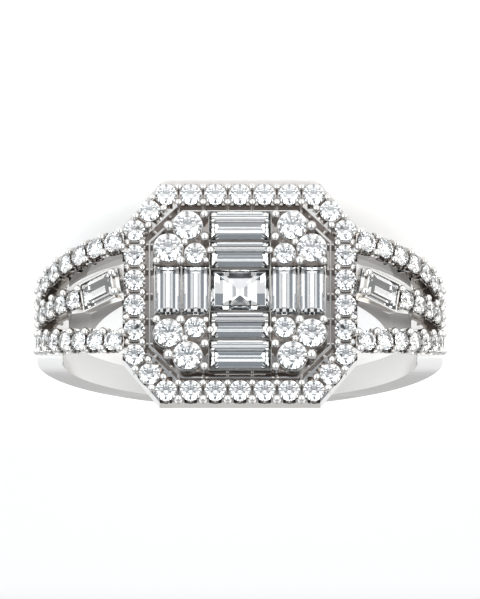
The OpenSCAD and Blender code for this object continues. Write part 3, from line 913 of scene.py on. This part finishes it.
def halo_band():
    """The halo's band, with a notch at each stone and a slot between each two; a quarter is mirrored."""
    past = 0.3
    notch_r, notch_half = 0.31, 0.70
    slot_half_l, slot_half_w, slot_depth = 0.62, 0.045, 0.30
    quarter = [(x, y) for x, y in octagon(HALO_CORNER) if x > 0 and y > 0]
    quarter += [(HALO_HALF_X, -past), (-past, -past), (-past, HALO_HALF_Y)]
    band = wall_between("halo_band", quarter, octagon(HALO_INNER_CORNER), HALO_BOTTOM, HALO_TOP)
    stones = in_quarter(halo_places())
    seats = [shift(x, y, HALO_TOP) for x, y, facing in stones]
    combine(band, cutters("seats", seats, SEAT_R, -2, 1), "DIFFERENCE")
    notches = [shift(x, y, HALO_TOP) @ turn(facing) @ turn(90, "Y") for x, y, facing in stones]
    combine(band, cutters("notches", notches, notch_r, -notch_half, notch_half), "DIFFERENCE")
    slots = [shift(x, y, HALO_TOP) @ turn(facing) for x, y, facing in in_quarter(halo_bead_places())]
    slot = slab("slot", oblong(slot_half_l, slot_half_w), -slot_depth, 0.50)
    combine(band, join("slots", copies_at(slot, slots)), "DIFFERENCE")
    mirrored(band, 0, 1)
    soften(band, 0.03)
    set_metal(band)


def groove_floor():
    """The floor between the halo and the cluster."""
    set_metal(wall_between("groove_floor", octagon(HALO_CORNER, (0.3, 0.3)),
                           octagon(GALLERY_CORNER, (0.2, 0.2)), HALO_BOTTOM, GROOVE_FLOOR))


def groove_rail():
    """A thin rail on that floor, with a small bar at each pair of the halo's beads."""
    outside, inside = (0.16, 0.16), (0.26, 0.26)
    foot, rail_top, bar_top = GROOVE_FLOOR - 0.1, HALO_TOP - 0.28, HALO_TOP - 0.30
    bar_half_l, bar_half_w, bar_inward = 0.22, 0.06, 0.68
    rail = wall_between("groove_rail", octagon(HALO_INNER_CORNER, outside),
                        octagon(HALO_INNER_CORNER, inside), foot, rail_top)
    soften(rail, 0.02)
    bar = slab("groove_bar", oblong(bar_half_l, bar_half_w), foot, bar_top)
    soften(bar, 0.02)
    bars = copies_at(bar, [shift(x, y) @ turn(facing) @ shift(-bar_inward, 0)
                           for x, y, facing in halo_bead_places()])
    set_metal(join("groove_rail", [rail] + bars))


def cluster_plate():
    """The low plate that the cluster's seats stand in, open under each stone."""
    inset, thickness, ledge, open_share = (0.10, 0.10), 0.25, 0.13, 0.6
    low, high = 9, 12
    plate = slab("cluster_seat", octagon(CLUSTER_CORNER, inset), CLUSTER_BOTTOM, CLUSTER_BOTTOM + thickness)
    pockets = [place(slab("pocket", oblong(w / 2 - ledge, h / 2 - ledge), low, high), shift(x, y))
               for node, (x, y), (w, h) in STEP_STONES]
    pockets += [place(rod(r * open_share, low, high, 24), there) for there, r in corner_rounds()]
    combine(plate, join("pockets", pockets), "DIFFERENCE")
    soften(plate, 0.03)
    set_metal(plate)


def stone_seats():
    """Thin upright walls round the cluster's stones, up to just below their girdles."""
    low, high = CLUSTER_BOTTOM + 0.1, CLUSTER_TOP + 0.02
    step_out, step_in, round_out, round_in = 0.035, 0.02, 0.05, 0.04
    walls = []
    for node, (x, y), (w, h) in STEP_STONES:
        outside = oblong(w / 2 + step_out, h / 2 + step_out)
        inside = oblong(w / 2 - step_in, h / 2 - step_in)
        walls.append(place(wall_between("step_seat", outside, inside, low, high), shift(x, y)))
    for there, r in corner_rounds():
        collet = rod(r + round_out, low, high)
        combine(collet, rod(r - round_in, low - 0.1, high + 1), "DIFFERENCE")
        walls.append(place(collet, there))
    for wall in walls:
        soften(wall, 0.015, 2)
    set_metal(join("stone_seats", walls), SEAT_GOLD)


def gallery():
    """The wall under the plate, which follows the finger."""
    wall = wall_between("gallery", octagon(GALLERY_CORNER), octagon(GALLERY_CORNER, GALLERY_WALL),
                        7, CLUSTER_BOTTOM + 0.1)
    combine(wall, rod_along_finger(BORE_R), "DIFFERENCE")
    soften(wall, 0.04)
    set_metal(wall)


def gallery_bridge():
    """The narrow arch between the gallery's side walls."""
    bridge = place(rod(BORE_R + BRIDGE_T, -BRIDGE_HALF_Y, BRIDGE_HALF_Y, FINE_SIDES), ALONG_FINGER)
    combine(bridge, rod_along_finger(BORE_R), "DIFFERENCE")
    combine(bridge, slab("span", oblong(GALLERY_CORNER[1][0], 2), 5, 12), "INTERSECT")
    soften(bridge, 0.04)
    bridge.name = "gallery_bridge"
    set_metal(bridge)


# Beads

def bead():
    """A bead prong of radius 1: a dome on its post."""
    neck_z, post_length = -0.45, 3.0
    bpy.ops.object.select_all(action="DESELECT")
    bpy.ops.mesh.primitive_uv_sphere_add(segments=14, ring_count=10, radius=1, location=(0, 0, 0))
    dome = named("bead")
    bpy.ops.object.mode_set(mode="EDIT")
    bpy.ops.mesh.select_all(action="SELECT")
    bpy.ops.mesh.bisect(plane_co=(0, 0, neck_z), plane_no=(0, 0, 1), use_fill=True, clear_inner=True)
    bpy.ops.mesh.extrude_region_move(TRANSFORM_OT_translate={"value": (0, 0, -post_length)})
    bpy.ops.object.mode_set(mode="OBJECT")
    bpy.ops.object.shade_smooth_by_angle(angle=math.radians(50))
    return dome


def head_beads():
    """Beads of the halo and of the cluster: place and radius."""
    halo = [(shift(x, y, HALO_Z + HEAD_BEAD_LIFT) @ turn(facing) @ shift(s * HALO_BEAD_ACROSS, 0),
             HALO_BEAD_R) for x, y, facing in halo_bead_places() for s in (-1, 1)]
    return halo + [(shift(sx * x, sy * y, CLUSTER_Z + HEAD_BEAD_LIFT), r)
                   for sx in (-1, 1) for sy in (-1, 1) for (x, y), r in CORNER_BEADS]


def shoulder_beads(side):
    """Beads of one shoulder's rows and the prongs of its baguette: place and radius."""
    head_end, tail_end = -0.45, MIDDLE_COUNT - 0.3
    prong_out, prong_in, prong_up = 0.22, 0.14, 0.08
    top = ARC_OUTER_R + ROW_LIFT + ROW_BEAD_LIFT
    between = [in_row(side, s, i, top) for s in (-1, 1)
               for i in [head_end] + [k + 0.5 for k in range(OUTER_COUNT)]]
    between += [on_shoulder(side, middle_angle(i - 0.5), 0, top) for i in range(MIDDLE_COUNT)]
    beads = [(there @ shift(0, t * ROW_BEAD_ACROSS), ROW_BEAD_R) for there in between for t in (-1, 1)]
    beads.append((on_shoulder(side, middle_angle(tail_end), 0, top), ROW_END_BEAD_R))
    length, width = SIDE_BAG_SIZE
    for t in (-1, 1):
        corner = shift(-length / 2 - prong_out, t * (width / 2 - prong_in), prong_up)
        beads.append((baguette_seat(side) @ corner, PRONG_R))
    return beads


def all_beads():
    """Every bead of the ring, copied from one."""
    places = head_beads() + shoulder_beads(-1) + shoulder_beads(1)
    set_metal(join("beads", copies_at(bead(), [there @ Matrix.Scale(r, 4) for there, r in places])))


make_stones()
shank()
middle_arms()
row_keels()
baguette_bezels()
claw_bases()
halo_band()
groove_floor()
groove_rail()
cluster_plate()
stone_seats()
gallery()
gallery_bridge()
all_beads()


# Floor, light and camera, in metres

def floor():
    """A pale floor with a faint glow of its own, dimmer under the ring and behind it, and grey far back."""
    under_ring, behind_ring, far_back = (0.006, 0.010), (0.010, 0.018), (0.0315, 0.042)
    under_glow, behind_glow = 0.65, 0.36
    pale, grey = (0.90, 0.90, 0.90, 1), (0.45, 0.45, 0.45, 1)
    bpy.ops.object.select_all(action="DESELECT")
    bpy.ops.mesh.primitive_plane_add(size=2.0, location=(0, 0, 0))
    ground = named("floor")
    material, shader, where = new_material("pale_floor")
    back = where.node("ShaderNodeSeparateXYZ", {0: where}, output=1)
    from_middle = where.node("ShaderNodeVectorMath", {0: where}, output=1, operation="LENGTH")
    behind = back.ramp(*behind_ring, "SMOOTHSTEP")
    far = back.ramp(*far_back, "SMOOTHSTEP")
    outside = from_middle.ramp(*under_ring)
    # Painted light: the floor glows, which washes out the ring's shadow in front of it. The glow is cut down
    # under the ring as painted shade, and cut down behind the ring so that the real shadows show there. The
    # shank's side faces reflect the grey far back.
    painted_glow = (1 - behind * (1 - behind_glow)) * (outside * (1 - under_glow) + under_glow)
    link(far.blend(pale, grey), shader, "Base Color")
    link(painted_glow, shader, "Emission Color")
    shader.inputs["Roughness"].default_value = 0.7
    shader.inputs["Specular IOR Level"].default_value = 0.1
    shader.inputs["Emission Strength"].default_value = 0.44
    ground.data.materials.append(material)


def softbox(name, azimuth, tint):
    """A panel light aimed at the ring's middle; azimuth 0 is in front, at -Y."""
    elevation, distance, middle = 30, 0.30, Vector((0, 0, 0.005))
    a, e = math.radians(azimuth), math.radians(elevation)
    away = Vector((math.sin(a) * math.cos(e), -math.cos(a) * math.cos(e), math.sin(e)))
    bpy.ops.object.light_add(type="AREA", location=away * distance + middle)
    lamp = bpy.context.object
    lamp.name = name
    lamp.data.shape = "RECTANGLE"
    lamp.data.size = 0.20
    lamp.data.size_y = 0.26
    lamp.data.energy = 0.38
    lamp.data.color = tint
    lamp.visible_camera = False
    lamp.rotation_euler = away.to_track_quat("Z", "Y").to_euler()


def surroundings():
    """A white studio, dimmer overhead and low behind, with a dark gap in front between the two panels."""
    white, overhead_dimming, behind_dimming, gap_dimming = 0.96, 0.40, 0.24, 0.62
    warm, cool, gap_tint = (1.0, 0.985, 0.96, 1), (0.93, 0.965, 1.0, 1), (0.84, 0.92, 1.0, 1)
    world = bpy.data.worlds.new("studio")
    bpy.context.scene.world = world
    world.use_nodes = True
    tree = world.node_tree
    where = Socket(tree, tree.nodes.new("ShaderNodeTexCoord").outputs["Generated"])
    x, y, z = (where.node("ShaderNodeSeparateXYZ", {0: where}, output=i) for i in range(3))
    beside = x.maths("ABSOLUTE", x).ramp(0.18, 0.32, "SMOOTHSTEP")
    in_front = y.ramp(-0.1, -0.4, "SMOOTHSTEP")
    behind = y.ramp(0.3, 0.9, "SMOOTHSTEP")
    above = z.ramp(0.1, 0.4, "SMOOTHSTEP")
    overhead = z.ramp(0.25, 0.95, "SMOOTHSTEP")
    gap = (1 - beside) * in_front
    grey = white - overhead * overhead_dimming - behind * (1 - above) * behind_dimming
    background = tree.nodes["Background"]
    link(gap.blend(overhead.blend(warm, cool), gap_tint), background, "Color")
    link(grey * (1 - gap * gap_dimming), background, "Strength")


def camera():
    """The photo looks a little off the head's own direction, and has the finger hole below the head."""
    off_head = math.radians(14.2)
    photo_height = 29.22 * METRES
    above_hole = 2.26 * METRES
    lens = 1200.0
    sensor = 36.0
    elevation = REST_TILT + off_head
    toward = Vector((0, -math.cos(elevation), math.sin(elevation)))
    up = Vector((0, -math.sin(elevation), -math.cos(elevation)))
    right = up.cross(toward)
    distance = photo_height * lens / sensor
    middle = Vector(FINGER_HOLE["pos_m"]) + up * above_hole
    view = Matrix((right, up, toward)).transposed().to_4x4()
    bpy.ops.object.camera_add()
    eye = bpy.context.object
    eye.name = "photo_camera"
    eye.matrix_world = Matrix.Translation(middle + toward * distance) @ view
    eye.data.lens = lens
    eye.data.sensor_width = sensor
    eye.data.clip_start = 0.01
    bpy.context.scene.camera = eye


floor()
surroundings()
softbox("left_panel", -42, (1.0, 0.975, 0.93))
softbox("right_panel", 42, (0.88, 0.95, 1.0))
camera()
bpy.context.scene.view_settings.view_transform = "Standard"
